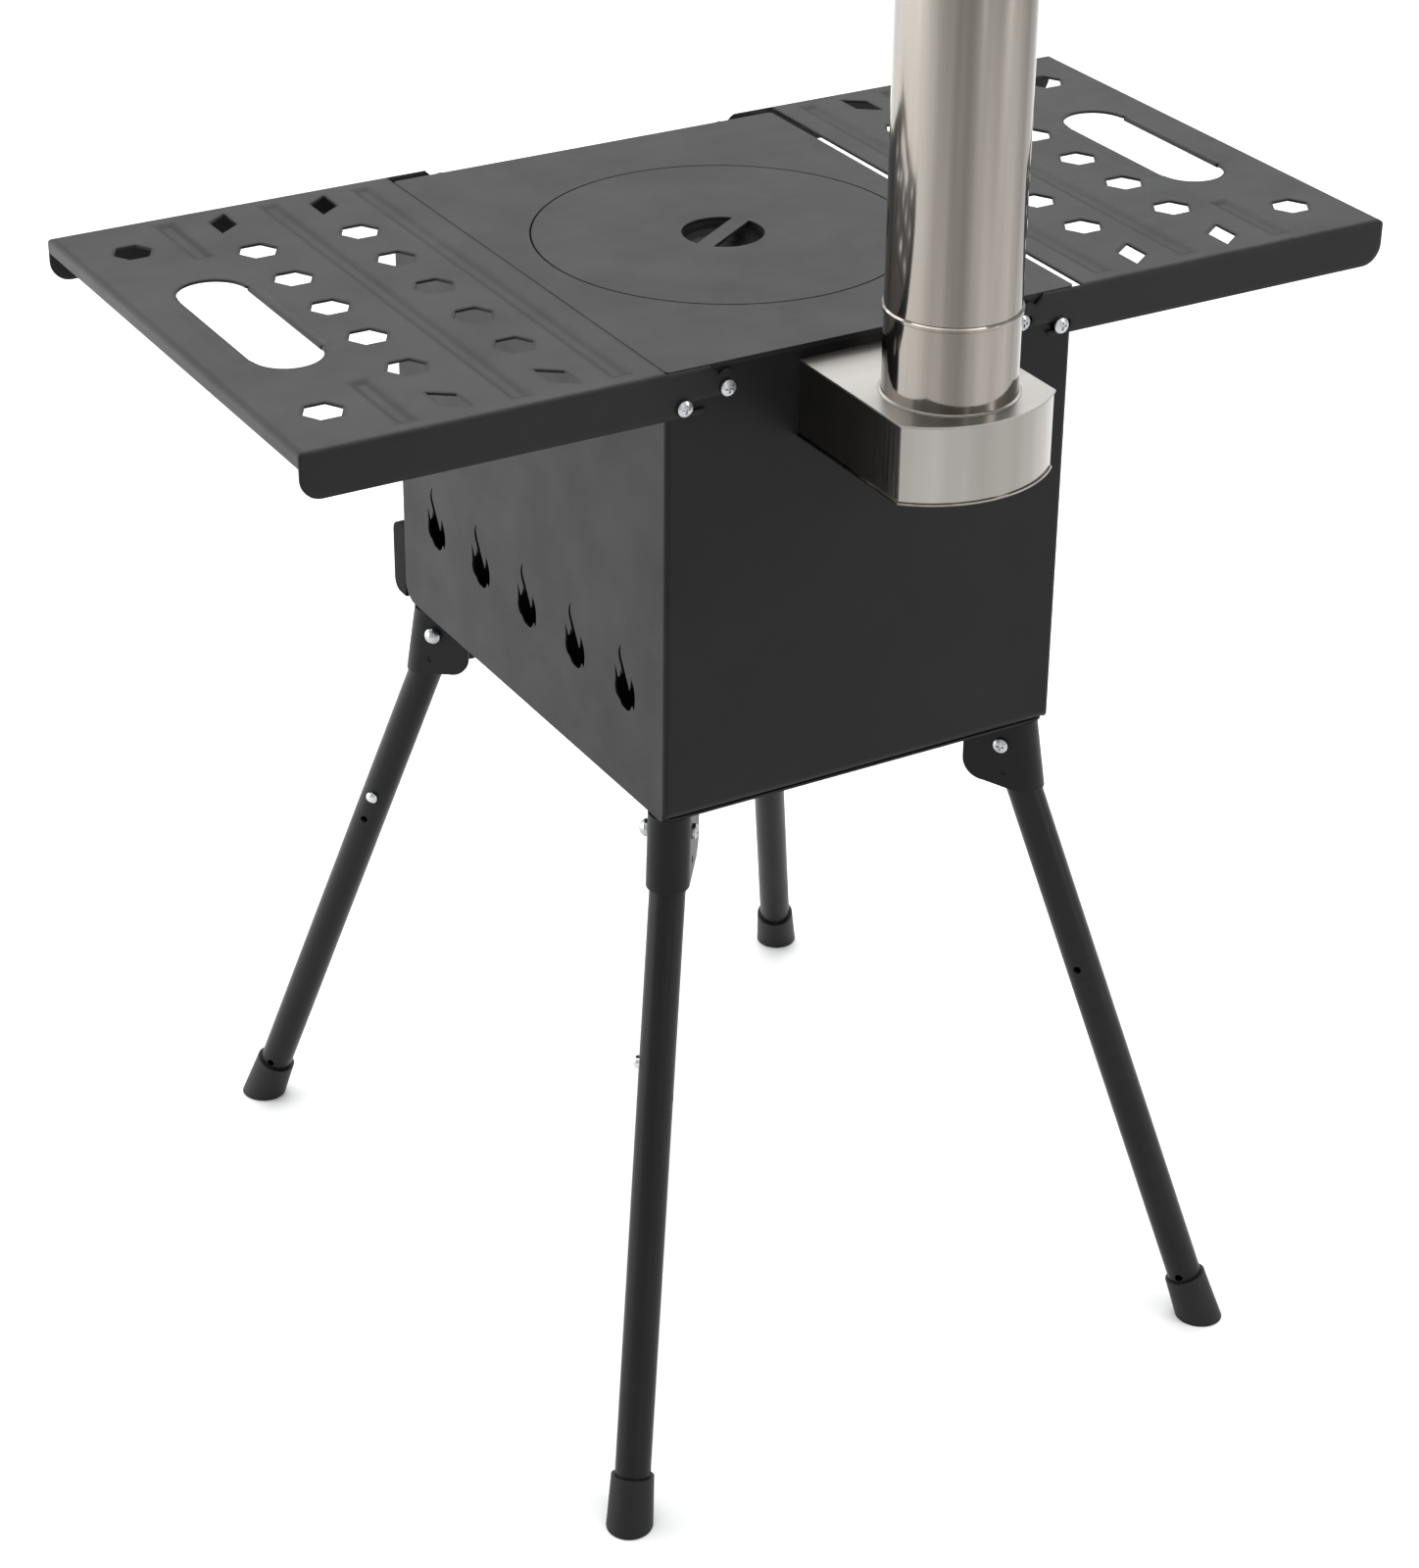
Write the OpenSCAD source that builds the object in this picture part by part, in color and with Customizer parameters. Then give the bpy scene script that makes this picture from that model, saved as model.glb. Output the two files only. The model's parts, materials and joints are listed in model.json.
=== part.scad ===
// Folding tent wood stove. Origin on the floor under the middle of the firebox.
// X runs to the right as seen from the door, Y to the back, Z up. Millimetres.

/* [Firebox] */
// Width of the firebox
body_w = 272; // [256:1:300]
// Depth of the firebox
body_d = 344; // [330:1:380]
// Height of the firebox with its top plate
body_h = 286; // [280:1:320]
// Height of the cooking surface above the floor
deck_h = 706; // [660:1:760]
// Thickness of the bent sheet
sheet = 1.5; // [1.2:0.1:2]
// Outer radius of a bend in the sheet
bend_r = 3; // [2.4:0.1:4]
// Radius of the side walls' lower front corners
front_corner_r = 12; // [6:1:16]
// Radius of the lower corners at the back
back_corner_r = 7; // [4:0.5:10]

/* [Side vents] */
// Number of flame-shaped vents in a side wall
vent_count = 5; // [3:1:5]
// Distance between neighbouring vents
vent_pitch = 62; // [50:1:64]
// Width of a vent
vent_w = 25; // [18:0.5:30]
// Height of a vent
vent_h = 41.5; // [30:0.5:60]
// Height of the vents above the bottom of the firebox
vent_up = 55; // [54:1:90]

/* [Top plate and lid] */
// Thickness of the top plate
top_t = 2.5; // [2.2:0.1:4]
// Corner radius of the top plate
top_corner_r = 3; // [1:0.5:8]
// Diameter of the lid
lid_d = 230; // [200:1:236]
// Gap all round the lid
lid_gap = 1; // [0.5:0.1:2]
// Step between the lid and the ledge that carries it
lid_rest = 0.3; // [0.2:0.05:0.5]
// Width of the ledge under the lid
ledge_lap = 10; // [6:0.5:16]
// Width of the ledge under the top plate
ledge_rim = 5; // [3:0.5:9]
// Thickness of the ledge
ledge_t = 2; // [1.2:0.1:3]
// Diameter of the finger recess in the lid
recess_d = 50; // [44:1:70]
// Width of the bar across the finger recess
bar_w = 11; // [8:0.5:14]
// Direction of the bar, from the X axis
bar_turn = 34; // [0:1:90]
// Depth of the dished cup under the recess
cup_depth = 10; // [6:0.5:16]
// Wall of the dished cup
cup_wall = 1.2; // [0.8:0.1:2]
// Width of the cup's rim under the lid
cup_rim = 4; // [3:0.5:8]

/* [Fire grate] */
// Height of the grate's rails above the bottom of the firebox
rail_up = 44; // [44:0.5:50]
// Width of a rail's shelf
rail_w = 14; // [10:0.5:20]
// Height of a rail's wall flange above its shelf
rail_flange = 7.5; // [5:0.5:9]
// Thickness of the grate
grate_t = 3; // [2:0.5:6]
// Gap between the grate and the walls
grate_gap = 3; // [2.2:0.1:5]
// Width of a slot in the grate
grate_slot_w = 8; // [6:0.5:10]
// Length of a slot in the grate
grate_slot_len = 80; // [60:1:95]
// Slots along a row of the grate
grate_slots = 11; // [7:1:12]
// Rows of slots in the grate
grate_rows = 3; // [2:1:3]

/* [Shelves] */
// Length of a shelf, away from the firebox
shelf_len = 222; // [215:1:260]
// Gap between a seated shelf and the firebox
shelf_gap = 0.6; // [0.4:0.1:1.5]
// How far the left shelf is drawn out at rest
left_shelf_out = 4.7; // [0:0.1:6]
// Depth of the front and back flanges
flange_depth = 28; // [26:0.5:40]
// Gap between a flange and the firebox
flange_gap = 0.4; // [0.3:0.05:0.8]
// Depth of the flange along the outer end
end_flange = 9; // [6:0.5:12]
// Radius of a deep flange's outer lower corner
flange_corner_r = 13; // [6:0.5:16]
// Corner radius of the hexagonal holes
hex_r = 12.2; // [8:0.1:14]
// Pitch of the hexagonal holes in a row
hex_pitch = 50; // [40:1:54]
// Hexagonal holes in a row
hex_count = 5; // [3:1:5]
// First row of holes, from the firebox
hex_row_1 = 54.6; // [50:0.1:60]
// Second row of holes, from the firebox
hex_row_2 = 120.8; // [110:0.1:124]
// Single outer holes, from the firebox
hex_row_3 = 186.7; // [175:0.1:195]
// Single outer holes, from the middle
hex_row_3_y = 132.5; // [110:1:140]
// Slanted slots, from the middle
rhomb_y = 151; // [148:0.5:156]
// Width of a slanted slot
rhomb_w = 14; // [8:0.5:18]
// Length of a slanted slot
rhomb_len = 20; // [12:0.5:22]
// Slant of a slanted slot
rhomb_slant = 10; // [0:0.5:12]
// Hand hole, from the firebox
hand_x = 171; // [165:0.5:178]
// Width of the hand hole
hand_w = 42; // [34:0.5:46]
// Length of the hand hole
hand_len = 144; // [120:1:160]
// Width of the hems folded under along the hand hole
hem_w = 8; // [5:0.5:10]
// Radius of the relief nicks at the ends of the lips
nick_r = 1.2; // [0.8:0.1:1.5]
// Width of a pressed rib
rib_w = 14; // [12:0.5:15]
// Depth of a pressed rib
rib_depth = 1.6; // [1:0.1:2.5]
// Width of a rib's sloping side
rib_slope = 4; // [2:0.5:5]
// First rib, from the firebox
rib_1_x = 23; // [18:0.5:28]
// Half length of the first rib
rib_1_half = 168; // [120:1:170]
// Second rib, from the firebox
rib_2_x = 84.5; // [82:0.5:90]
// Half length of the second rib
rib_2_half = 168; // [120:1:170]
// Short ribs, from the firebox
rib_3_x = 153; // [145:0.5:160]
// Start of a short rib, from the middle
rib_3_from = 103; // [95:1:110]
// End of a short rib, from the middle
rib_3_to = 168; // [140:1:170]

/* [Shelf hooks] */
// How far the shelves' front flange stands off the firebox
front_out = 9; // [0:0.5:12]
// Diameter of the shoulder that keeps the front flange off
shoulder_d = 8; // [7:0.1:8.5]
// Diameter of the shelf screws' shanks
screw_d = 5; // [4:0.1:5.5]
// Diameter of a pan head
head_d = 9.5; // [9:0.1:11]
// Height of a pan head
head_t = 3.2; // [2.5:0.1:4]
// Outer screw, in from the firebox's side
screw_a_in = 10; // [9:0.5:12]
// Outer screw, below the cooking surface
screw_a_down = 22; // [21:0.5:23]
// Inner screw, in from the firebox's side
screw_b_in = 37.5; // [34:0.5:40]
// Inner screw, below the cooking surface
screw_b_down = 15; // [14.5:0.1:15]
// Gap between a screw's shank and its hook
hook_gap = 0.4; // [0.3:0.05:0.6]
// Play between a screw's head and the flange
head_gap = 0.3; // [0.3:0.05:0.6]
// Radius of the eye over the inner screw
eye_r = 5.5; // [5:0.1:7]
// Height of a nut
nut_t = 4; // [3:0.1:5]
// Width of a nut across its flats
nut_af = 8; // [7.5:0.1:9]
// Gap in a threaded joint
thread_gap = 0.05; // [0.02:0.01:0.1]
// Length of a screw's end past its nut
screw_end = 1; // [0.5:0.1:3]

/* [Flue box] */
// Width of the flue box
box_w = 100; // [92:1:120]
// Length of the flue box behind the firebox
box_len = 125; // [120:1:150]
// Bulge of the flue box's rounded back
box_bulge = 20; // [12:1:24]
// Height of the flue box
box_h = 47; // [40:1:60]
// Top of the flue box below the cooking surface
box_drop = 8.5; // [6:0.5:14]
// Sheet of the flue box
box_t = 1.2; // [0.8:0.1:1.5]
// Overhang of the flue box's top
box_lap = 0.8; // [0.4:0.1:2]
// Overhang of the flue box's bottom
box_lip = 1; // [0.4:0.1:2]
// Border of the outlet in the back wall, inside the flue box
outlet_rim = 4; // [2:0.5:8]

/* [Flue pipe] */
// Outer diameter of the pipe
pipe_d = 76; // [70:1:84]
// Wall of the pipe
pipe_wall = 0.6; // [0.5:0.1:1]
// Pipe's axis behind the firebox
pipe_y = 76; // [70:1:80]
// Height of the collar up to its bead
collar_h = 48; // [40:1:80]
// Height of a rolled bead
bead_h = 3; // [2:0.1:5]
// Bead's rise over the pipe's surface
bead_out = 1.2; // [0.6:0.1:2]
// Length of the spigot above a bead
spigot_len = 35; // [25:1:45]
// Gap between the spigot and the pipe
spigot_gap = 0.1; // [0.05:0.01:0.1]
// Gap under the seated pipe
pipe_rest = 0.3; // [0.2:0.05:0.6]
// Length of the pipe section without its spigot
pipe_len = 330; // [250:5:600]

/* [Legs] */
// Pivot, in from the firebox's corner along the diagonal
pivot_in = 25.3; // [24:0.1:30]
// Pivot below the firebox
pivot_down = 17; // [15:0.5:22]
// Splay of a leg from the vertical
splay = 20.7; // [16:0.1:23]
// Diameter of the leg tubes
leg_d = 22; // [20:0.5:24]
// Wall of the leg tubes
leg_wall = 1.2; // [1:0.1:1.5]
// Tube above the pivot
leg_top = 11; // [9:0.5:11]
// Joint of the tubes below the pivot
joint_down = 169.5; // [140:0.5:200]
// Length of the lower tube's neck
neck_len = 48; // [46:1:60]
// Gap between the neck and the upper tube
neck_gap = 0.1; // [0.05:0.01:0.15]
// Snap button above the joint
button_up = 27; // [24:0.5:28]
// Diameter of the snap button
button_d = 8; // [6:0.1:8]
// Snap button's rise over the tube
button_out = 3.5; // [2.5:0.1:4]
// Gap round the snap button
button_gap = 0.1; // [0.05:0.01:0.1]
// Diameter of the cross holes
cross_d = 5; // [3:0.1:6]
// Cross hole above the joint
cross_up = 6.8; // [6:0.1:10]
// Width of the button's spring strip
strip_w = 6; // [4:0.5:6]
// Thickness of the spring strip
strip_t = 0.5; // [0.3:0.05:0.8]
// Gap between the spring strip's edges and the tube
strip_gap = 0.35; // [0.2:0.05:0.6]
// Length of the spring strip below the button
strip_below = 7; // [5:0.5:8]
// Length of the spring strip above the button
strip_above = 10; // [5:0.5:12]

/* [Feet] */
// Diameter of a foot's rim
foot_rim_d = 26.5; // [25.5:0.5:30]
// Diameter of a foot at the floor
foot_d = 29; // [28:0.5:40]
// Height of a foot along the leg
foot_h = 31; // [26:0.5:50]
// Thickness of a foot's sole along the leg
foot_sole = 12; // [10:0.5:16]
// Cross hole above the foot's rim
foot_hole_up = 3.6; // [3:0.1:10]

/* [Leg brackets] */
// Gap between the tube and its bracket
wrap_gap = 0.75; // [0.6:0.05:1]
// Outward lean of the bracket's round back
wrap_lean = 8.7; // [7:0.1:9]
// Bottom of the bracket below the pivot
wrap_down = 31; // [28:0.5:34]
// Bottom of the cheeks below the pivot
cheek_down = 27; // [22:0.5:28]
// Cheeks, in from the pivot
cheek_in = 24.5; // [22:0.5:27]
// Radius of a cheek's lower inner corner
cheek_r = 14; // [8:0.5:16]
// Width of a mounting tab
tab_w = 11; // [9:0.5:12]
// Length of a mounting tab
tab_len = 16; // [12:0.5:18]
// Diameter of the rivets
rivet_d = 4; // [3:0.1:4.5]
// Diameter of a rivet's head
rivet_head_d = 7; // [6:0.1:8]
// Height of a rivet's head
rivet_head_t = 1.4; // [1:0.1:2]
// Diameter of a dimple in a cheek
dimple_d = 5; // [3:0.1:6]
// Depth of a dimple
dimple_t = 0.6; // [0.3:0.1:0.8]
// Dimple below the pivot
dimple_down = 18; // [15:0.5:20]
// Dimple, out from the pivot
dimple_out = 2.6; // [1:0.1:4]
// Diameter of a pivot screw
pivot_d = 5; // [4:0.1:6]
// Gap between a pivot screw and the tube
pivot_gap = 0.05; // [0.02:0.01:0.1]
// Diameter of a cap nut
cap_d = 11; // [10:0.1:12]
// Height of a cap nut's rim
cap_rim = 2.5; // [2:0.1:3]
// Height of a cap nut's dome
cap_dome = 3.5; // [2:0.1:4]

/* [Door] */
// Width of the door opening
mouth_w = 180; // [140:1:184]
// Height of the door opening above the bottom of the firebox
mouth_up = 75; // [70:1:85]
// Top of the door opening below the cooking surface
mouth_down = 61; // [58:1:80]
// Corner radius of the door opening
mouth_r = 8; // [3:0.5:12]
// Overlap of the door round its opening
door_lap = 12; // [8:0.5:14]
// Gap between the door and the front panel
door_gap = 0.5; // [0.3:0.05:0.8]
// Corner radius of the door
door_r = 6; // [3:0.5:12]
// Middle of a hinge, in from the door's ends
hinge_in = 32; // [26:1:40]
// Height of a hinge
hinge_h = 36; // [30:1:44]
// Share of a hinge's height in its middle knuckle
knuckle_share = 0.42; // [0.35:0.01:0.5]
// Outer radius of a knuckle
knuckle_r = 4.5; // [4:0.1:5]
// Radius of a hinge pin
pin_r = 2.5; // [2:0.1:2.8]
// Gap round a hinge pin
pin_gap = 0.05; // [0.02:0.01:0.1]
// Gap between a knuckle and what it turns past
knuckle_gap = 0.4; // [0.3:0.05:0.6]
// Length of a hinge leaf
leaf_len = 22; // [18:0.5:24]
// Height of a hinge pin's head
pin_head_t = 2; // [1:0.1:3]
// Latch shaft, in from the door opening's edge
latch_in = 9; // [8.5:0.5:16]
// Radius of the latch shaft
latch_r = 4; // [3:0.1:5]
// Gap round the latch shaft
latch_gap = 0.1; // [0.05:0.01:0.1]
// Reach of the latch tongue
tongue_len = 24; // [20:0.5:30]
// Width of the latch tongue
tongue_w = 11; // [9:0.5:12]
// Thickness of the latch tongue
tongue_t = 2; // [1.5:0.1:3]
// Gap between the latch tongue and the front panel
tongue_gap = 0.8; // [0.4:0.1:1.5]
// Length of the latch lever
lever_len = 62; // [45:1:75]
// Width of the latch lever
lever_w = 12; // [9:0.5:16]
// Thickness of the latch lever
lever_t = 4; // [3:0.5:6]
// Distance of the latch lever from the door
lever_off = 8; // [5:0.5:10]
// Radius of the air disc
disc_r = 34; // [30:0.5:38]
// Thickness of the air disc
disc_t = 1.2; // [1:0.1:2]
// Gap in front of and behind the air disc
disc_gap = 0.3; // [0.3:0.05:0.5]
// Air disc above the bottom edge of the door
disc_up = 44; // [42:0.5:48]
// Radius of an air hole
air_r = 8; // [5:0.5:9]
// Air holes, from the disc's middle
air_ring = 21; // [18:0.5:23]
// Number of air holes
air_count = 4; // [3:1:4]
// Height of the air disc's thumb tab
thumb_h = 9; // [6:0.5:14]

/* [Ash drawer] */
// Height of the ash drawer's front
drawer_h = 50; // [48:0.5:54]
// Depth of the ash drawer's front
drawer_out = 17; // [14:0.5:22]
// Corner radius of the ash drawer's front
drawer_r = 8; // [5:0.5:8]
// Gap between the ash drawer's front and the firebox
drawer_gap = 0.4; // [0.3:0.05:1]
// Height of the slot for the ash tray
slot_h = 42; // [41:0.5:44]
// Height of the ash tray
tray_h = 37; // [30:0.5:38]
// Room behind the ash tray inside the firebox
tray_clear = 44; // [34:1:90]
// Wall of the ash tray
tray_t = 1; // [0.8:0.1:1.5]
// Gap beside and below the ash tray
tray_gap = 0.4; // [0.3:0.05:0.8]
// Floor pan's front edge behind the front panel
floor_back = 8; // [4:0.5:12]

/* [Hidden] */
$fn = 64;
// Overrun of every cut
cut = 1;
// Steps in each stretch of a curved outline
curve_steps = 4;
// Start of the flame outline, as shares of a vent's width and height
flame_start_share = [-0.08, 0.01];
// Stretches of the flame outline: bend point and end point, as shares
flame_shares = [
  [[-0.16, 0.02], [-0.26, 0.09]],
  [[-0.48, 0.12], [-0.48, 0.26]],
  [[-0.42, 0.42], [-0.50, 0.59]],
  [[-0.38, 0.50], [-0.32, 0.42]],
  [[-0.22, 0.46], [-0.19, 0.58]],
  [[-0.15, 0.55], [-0.13, 0.52]],
  [[-0.17, 0.62], [-0.25, 0.70]],
  [[-0.40, 0.84], [-0.17, 1]],
  [[-0.27, 0.86], [-0.15, 0.74]],
  [[-0.02, 0.62], [0.08, 0.50]],
  [[0.18, 0.42], [0.21, 0.35]],
  [[0.30, 0.42], [0.29, 0.57]],
  [[0.50, 0.44], [0.49, 0.26]],
  [[0.48, 0.14], [0.43, 0.08]],
  [[0.38, 0.16], [0.33, 0.13]],
  [[0.28, 0.02], [0.10, 0]],
  [[0, 0.01], [-0.08, 0.01]]
];
// Dish of the lid's cup: flat middle and bend point, as shares of its radius
dish_flat_share = 0.45;
dish_bend_share = 0.98;
// Dome of a pan head, as a share of its height
head_dome_share = 0.45;
// Cross recess of a pan head, as shares of its diameter and height
recess_len_share = 0.55;
recess_w_share = 0.14;
recess_t_share = 0.4;
// Top of a hook's finger, in from the firebox's side, as a share of the inner screw's place
finger_top_share = 0.7;
// Neck of a hook's finger, as shares of the inner screw's place
finger_neck_share = 0.89;
finger_neck_down_share = 0.47;
// Eye's middle above the inner screw, as a share of the eye's radius
eye_up_share = 1;
// Tip of a hook's lower finger, as a share of the inner screw's place
lower_tip_share = 0.64;
// Rivets of a hinge leaf, as shares of the leaf's length and height
leaf_rivet_share = 0.72;
leaf_rivet_up_share = 0.3;

base_z = deck_h - body_h;
half_w = body_w / 2;
half_d = body_d / 2;
wall_top = deck_h - top_t;
lid_t = top_t - lid_rest;
lid_r = lid_d / 2;
screw_r = screw_d / 2;
head_r = head_d / 2;
nut_r = nut_af / sqrt(3);
head_seat = half_d + flange_gap + sheet + head_gap;
shelf_half = half_d + flange_gap + sheet + front_out / 2;
shoulder_r = shoulder_d / 2;
box_top = deck_h - box_drop;
box_low = box_top - box_h;
box_r = (pow(box_w / 2, 2) + pow(box_bulge, 2)) / (2 * box_bulge);
pipe_r = pipe_d / 2;
bore_r = pipe_r - pipe_wall;
spigot_r = bore_r - spigot_gap;
bead_z = box_top + collar_h;
pipe_z = bead_z + bead_h + pipe_rest;
leg_yaw = atan2(body_d, body_w);
pivot_out = sqrt(pow(half_w, 2) + pow(half_d, 2)) - pivot_in;
pivot_z = base_z - pivot_down;
leg_len = pivot_z / cos(splay);
leg_r = leg_d / 2;
leg_bore_r = leg_r - leg_wall;
neck_r = leg_bore_r - neck_gap;
neck_bore_r = neck_r - leg_wall;
button_r = button_d / 2;
button_z = button_up - joint_down;
strip_r = sqrt(pow(neck_bore_r, 2) - pow(strip_w / 2, 2)) - strip_gap;
wrap_in_r = leg_r + wrap_gap;
wrap_r = wrap_in_r + sheet;
wrap_foot = wrap_down * tan(splay);
wrap_top = pivot_down - sheet;
wrap_span = cheek_in + wrap_foot + 2 * wrap_r;
rivet_r = rivet_d / 2;
tab_mid = wrap_in_r + sheet + tab_w / 2;
tab_from = -cheek_in;
foot_rim = leg_len - foot_h;
tube_end = leg_len - foot_sole;
mouth_z = base_z + mouth_up;
mouth_h = body_h - mouth_up - mouth_down;
door_w = mouth_w + 2 * door_lap;
door_z = mouth_z - door_lap;
door_h = mouth_h + 2 * door_lap;
door_mid_z = door_z + door_h / 2;
door_back = half_d + door_gap;
door_face = door_back + sheet;
hinge_y = half_d + knuckle_gap + knuckle_r;
hinge_x = door_w / 2 + knuckle_gap + knuckle_r + sheet;
hinge_pitch = door_h - 2 * hinge_in;
knuckle_h = hinge_h * knuckle_share;
latch_x = latch_in - mouth_w / 2;
disc_z = door_z + disc_up;
tray_w = body_w - 2 * sheet - 2 * tray_gap;
tray_z = base_z + sheet + tray_gap;
tray_len = body_d - tray_clear;
drawer_face = half_d + drawer_out;

// Points of a bent stretch from a to c, drawn towards b
function bend(a, b, c) = [
  for (i = [1 : curve_steps])
    let (t = i / curve_steps)
    (1 - t) * (1 - t) * a + 2 * t * (1 - t) * b + t * t * c
];

// Points of the flame outline as shares of its width and height
function flame_stretch(i) = bend(
  i == 0 ? flame_start_share : flame_shares[i - 1][1], flame_shares[i][0], flame_shares[i][1]
);

// A block between two opposite corners
module block(a, b) {
  translate(a) cube(b - a);
}

// A flat outline between two opposite corners
module flat(a, b) {
  translate(a) square(b - a);
}

// A flat outline round the origin with four equal round corners
module round_flat(size, r) {
  square([size[0] - 2 * r, size[1]], center = true);
  square([size[0], size[1] - 2 * r], center = true);
  for (x = [-1, 1])
    for (y = [-1, 1])
      translate([x * (size[0] / 2 - r), y * (size[1] / 2 - r)]) circle(r);
}

// What a round corner at the origin takes off a flat outline that lies towards +X and +Y
module corner_waste(r) {
  difference() {
    flat([-cut, -cut], [r, r]);
    translate([r, r]) circle(r);
  }
}

// A slot with round ends along Y
module long_slot(w, len) {
  square([w, len - w], center = true);
  for (y = [-1, 1])
    translate([0, y * (len - w) / 2]) circle(w / 2);
}

// Children mirrored to the left or to the front
module to_side(side) {
  if (side < 0)
    mirror([1, 0, 0]) children();
  else
    children();
}
module to_end(end) {
  if (end < 0)
    mirror([0, 1, 0]) children();
  else
    children();
}

// Children drawn in a flat that runs along Y and Z, raised along X
module on_side(len) {
  rotate([90, 0, 90]) linear_extrude(len) children();
}

// Children drawn in a flat that runs along X and Z, raised along -Y
module on_front(len) {
  rotate([90, 0, 0]) linear_extrude(len) children();
}

// Children moved to a leg's pivot: X points outwards along the diagonal
module at_leg(side, end) {
  to_side(side) to_end(end) rotate([0, 0, leg_yaw]) translate([pivot_out, 0, pivot_z]) children();
}

// Children turned so that -Z runs down the leg
module along_leg() {
  rotate([0, -splay, 0]) children();
}

// Firebox

module shell_plan() {
  difference() {
    flat([-half_w, -half_d], [half_w, half_d]);
    for (side = [-1, 1])
      to_side(side) translate([half_w, half_d]) rotate(180) corner_waste(bend_r);
    difference() {
      flat([sheet - half_w, -half_d - cut], [half_w - sheet, half_d - sheet]);
      for (side = [-1, 1])
        to_side(side) translate([half_w - sheet, half_d - sheet]) rotate(180) corner_waste(bend_r - sheet);
    }
  }
}

module flame() {
  points = [for (i = [0 : len(flame_shares) - 1]) each flame_stretch(i)];
  polygon([for (p = points) [p[0] * vent_w, p[1] * vent_h]]);
}

module screw_holes() {
  for (side = [-1, 1]) {
    for (p = [[screw_a_in, screw_a_down], [screw_b_in, screw_b_down]])
      translate([side * (half_w - p[0]), half_d + cut, deck_h - p[1]])
        rotate([90, 0, 0]) cylinder(h = sheet + 2 * cut, r = screw_r + thread_gap);
  }
}

module firebox_shell() {
  color("#2a2a2b") difference() {
    translate([0, 0, base_z]) linear_extrude(wall_top - base_z) shell_plan();
    for (y = [-1, 1])
      translate([-half_w - cut, y * half_d, base_z])
        to_end(y) on_side(body_w + 2 * cut)
          mirror([1, 0]) corner_waste(y < 0 ? front_corner_r : back_corner_r);
    for (side = [-1, 1])
      to_side(side) translate([half_w, half_d + cut, base_z])
        on_front(bend_r + cut) mirror([1, 0]) corner_waste(back_corner_r);
    for (i = [0 : vent_count - 1])
      translate([-half_w - cut, (i - (vent_count - 1) / 2) * vent_pitch, base_z + vent_up])
        on_side(body_w + 2 * cut) flame();
    block(
      [box_t + outlet_rim - box_w / 2, half_d - sheet - cut, box_low + box_t + outlet_rim],
      [box_w / 2 - box_t - outlet_rim, half_d + cut, box_top - box_t - outlet_rim]
    );
    screw_holes();
  }
}

module front_panel() {
  color("#2a2a2b") difference() {
    block([sheet - half_w, -half_d, base_z + slot_h], [half_w - sheet, sheet - half_d, wall_top]);
    translate([0, sheet - half_d + cut, mouth_z + mouth_h / 2])
      on_front(sheet + 2 * cut) round_flat([mouth_w, mouth_h], mouth_r);
    to_end(-1) screw_holes();
    at_hinges() leaf_rivet_places() translate([0, hinge_y - half_d - cut, 0]) rotate([-90, 0, 0])
      cylinder(h = sheet + 2 * cut, r = rivet_r + thread_gap);
  }
}

module floor_pan() {
  color("#2a2a2b") difference() {
    translate([0, 0, base_z]) linear_extrude(sheet) difference() {
      flat([sheet - half_w, floor_back - half_d], [half_w - sheet, half_d - sheet]);
      for (side = [-1, 1])
        to_side(side) translate([half_w - sheet, half_d - sheet]) rotate(180) corner_waste(back_corner_r);
    }
    at_bracket_rivets() cylinder(h = 2 * sheet + cut, r = rivet_r + thread_gap);
  }
}

module top_plate() {
  color("#5c5c5e") translate([0, 0, wall_top]) linear_extrude(top_t) difference() {
    round_flat([body_w, body_d], top_corner_r);
    circle(lid_r + lid_gap, $fn = 128);
  }
}

module lid_ledge() {
  color("#2a2a2b") translate([0, 0, wall_top - ledge_t]) linear_extrude(ledge_t) difference() {
    circle(lid_r + lid_gap + ledge_rim, $fn = 128);
    circle(lid_r - ledge_lap, $fn = 128);
  }
}

module grate_rails() {
  rail_half = half_d - sheet - grate_gap;
  color("#3a3a3a") for (side = [-1, 1])
    to_side(side) {
      block(
        [half_w - sheet - rail_w, -rail_half, base_z + rail_up],
        [half_w - sheet, rail_half, base_z + rail_up + sheet]
      );
      block(
        [half_w - 2 * sheet, -rail_half, base_z + rail_up],
        [half_w - sheet, rail_half, base_z + rail_up + sheet + rail_flange]
      );
    }
}

module fire_grate() {
  grate_w = body_w - 4 * sheet - 2 * grate_gap;
  grate_d = body_d - 2 * sheet - 2 * grate_gap;
  step_x = (grate_w - 2 * rail_w) / grate_slots;
  step_y = grate_d / grate_rows;
  color("#454545") translate([0, 0, base_z + rail_up + sheet]) linear_extrude(grate_t) difference() {
    square([grate_w, grate_d], center = true);
    for (i = [0 : grate_slots - 1])
      for (j = [0 : grate_rows - 1])
        translate([(i - (grate_slots - 1) / 2) * step_x, (j - (grate_rows - 1) / 2) * step_y])
          long_slot(grate_slot_w, grate_slot_len);
  }
}

// Fasteners

// Pan head with a cross recess, its seat on the origin and its shank down -Z
module pan_screw(len, shank_r) {
  dome = head_t * head_dome_share;
  dome_r = (pow(head_r, 2) + pow(dome, 2)) / (2 * dome);
  difference() {
    intersection() {
      cylinder(h = head_t, r = head_r);
      translate([0, 0, head_t - dome_r]) sphere(dome_r);
    }
    for (turn = [0, 90])
      rotate([0, 0, turn])
        block(
          [-head_d * recess_len_share / 2, -head_d * recess_w_share / 2, head_t * (1 - recess_t_share)],
          [head_d * recess_len_share / 2, head_d * recess_w_share / 2, head_t + cut]
        );
  }
  translate([0, 0, -len]) cylinder(h = len, r = shank_r);
}

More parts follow.
